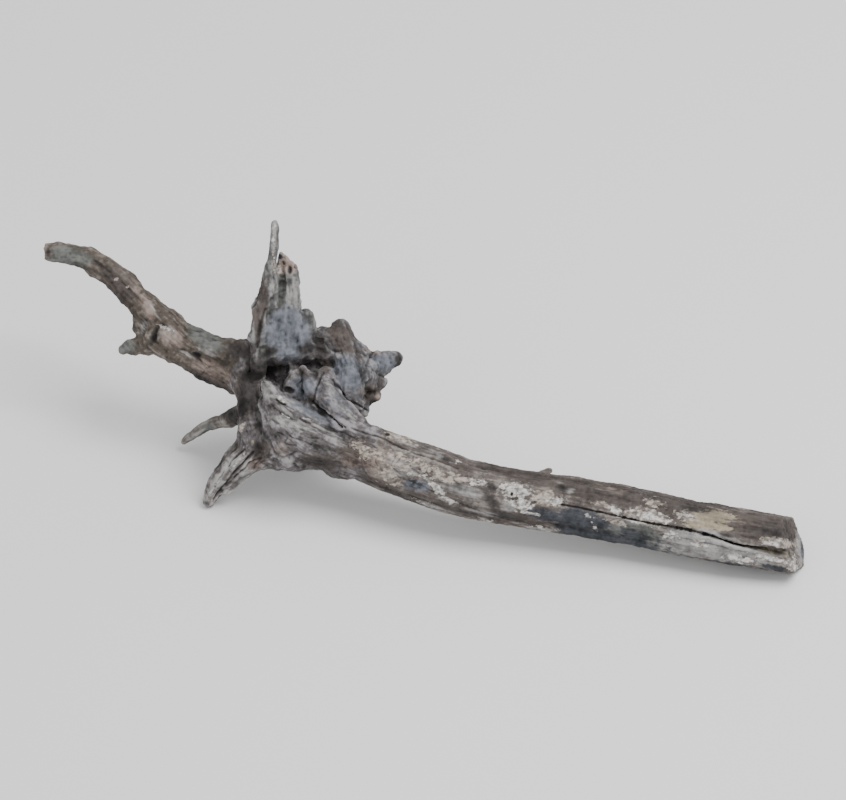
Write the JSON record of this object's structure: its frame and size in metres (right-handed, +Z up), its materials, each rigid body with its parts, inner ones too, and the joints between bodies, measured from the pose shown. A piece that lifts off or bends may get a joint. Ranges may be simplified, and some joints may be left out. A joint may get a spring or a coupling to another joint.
{
  "type": "sinker wood",
  "caption": "Branching piece of weathered driftwood: a long cracked trunk with a sawn end, a fluted root crown and broken roots.",
  "frame": {"origin": "centre of the bounding box, at the level of the surface the wood rests on", "axes": "+X along the trunk towards its sawn end, +Y away from the side seen in the picture, +Z up"},
  "size_m": [0.6062, 0.2508, 0.2115],
  "materials": {
    "trunk": "weathered, barkless, with flaking pale patches and dark bare wood",
    "root_crown": "weathered, fluted grey-brown grain with dirt in the grooves",
    "upright_root": "weathered blue-grey with a reddish broken top",
    "flared_root": "weathered dark grey-brown",
    "long_root": "weathered brown with a grey-green end",
    "thin_root": "weathered dark brown with a pale tip",
    "lower_root": "weathered, fluted grey with dark grooves"
  },
  "bodies": {
    "root": {"trunk": "trunk", "root_crown": "root_crown", "upright_root": "upright_root", "flared_root": "flared_root", "long_root": "long_root", "thin_root": "thin_root", "lower_root": "lower_root"}
  },
  "joints": []
}
